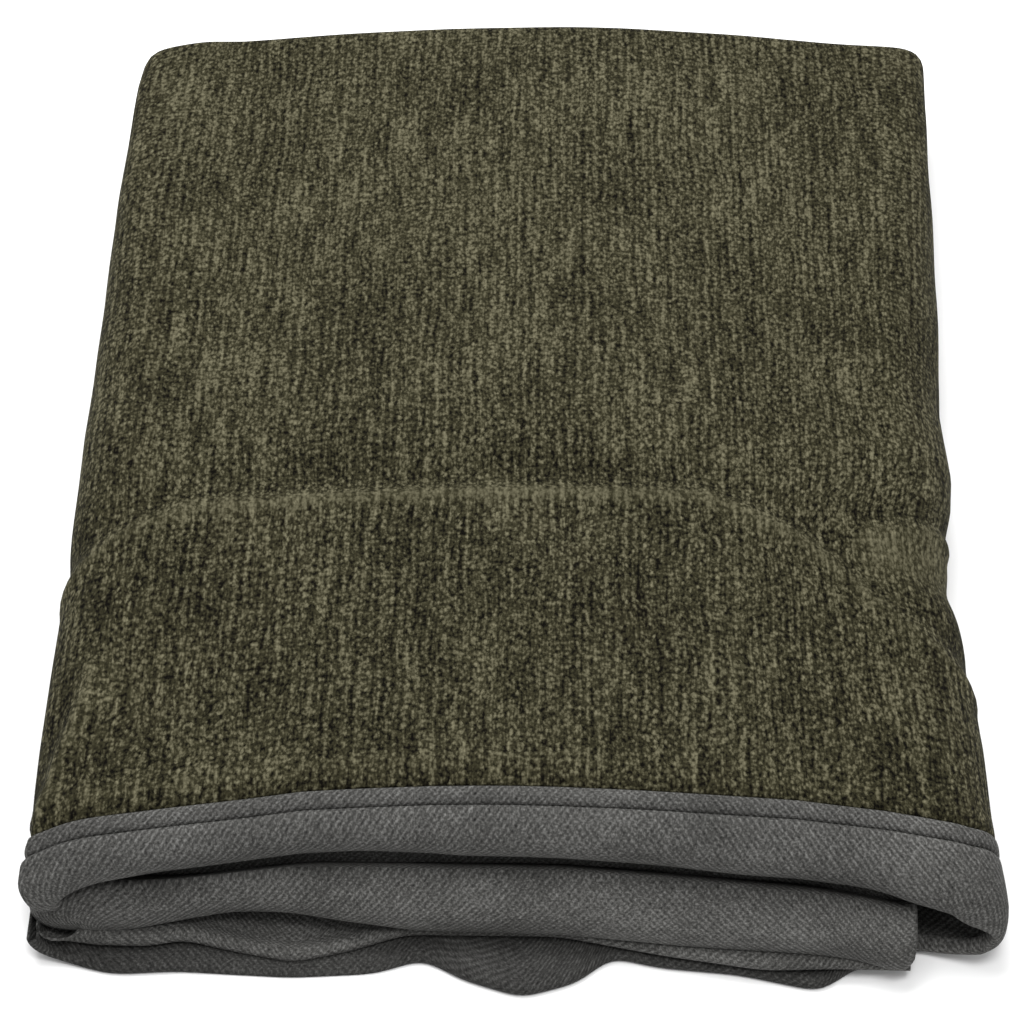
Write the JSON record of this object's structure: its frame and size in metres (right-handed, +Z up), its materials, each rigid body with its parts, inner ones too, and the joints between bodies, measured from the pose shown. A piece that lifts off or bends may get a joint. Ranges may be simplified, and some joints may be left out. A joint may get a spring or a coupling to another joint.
{
  "type": "camp blanket",
  "caption": "Folded camp blanket with an olive chenille face, grey woven lining and wide stitched hem; the cover leaf folds open to the right.",
  "frame": {"origin": "on the ground under the middle of the folded pile", "axes": "+Z up, +Y towards the back fold, +X towards the right roll that the cover leaf turns on"},
  "size_m": [0.503, 0.65, 0.0857],
  "materials": {
    "chenille_face": "matte",
    "lining_cloth": "matte",
    "sewing_thread": "matte"
  },
  "bodies": {
    "pile": {"bottom_face_outer": "chenille_face", "bottom_lining_outer": "lining_cloth", "bottom_lining_inner": "lining_cloth", "bottom_face_inner": "chenille_face", "bottom_hem_outer": "lining_cloth", "bottom_hem_inner": "lining_cloth", "bottom_back_fold": "chenille_face", "bottom_back_fold_lining": "lining_cloth", "bottom_stitches": "sewing_thread", "turned_face_outer": "chenille_face", "turned_lining_outer": "lining_cloth", "turned_lining_inner": "lining_cloth", "turned_face_inner": "chenille_face", "turned_hem_outer": "lining_cloth", "turned_hem_inner": "lining_cloth", "turned_back_fold": "chenille_face", "turned_back_fold_lining": "lining_cloth", "turned_stitches": "sewing_thread"},
    "cover_leaf": {"cover_face_outer": "chenille_face", "cover_lining_outer": "lining_cloth", "cover_lining_inner": "lining_cloth", "cover_face_inner": "chenille_face", "cover_hem_outer": "lining_cloth", "cover_hem_inner": "lining_cloth", "cover_back_fold": "chenille_face", "cover_back_fold_lining": "lining_cloth", "cover_stitches": "sewing_thread", "cover_edge_strip": "lining_cloth", "cover_hem_lip": "lining_cloth"}
  },
  "joints": [
    {"name": "cover_leaf_fold", "type": "hinge", "parent": "pile", "child": "cover_leaf", "pos_m": [0.2515, 0, 0.04314], "axis": [0, 1, 0], "range_deg": [0, 180]}
  ]
}
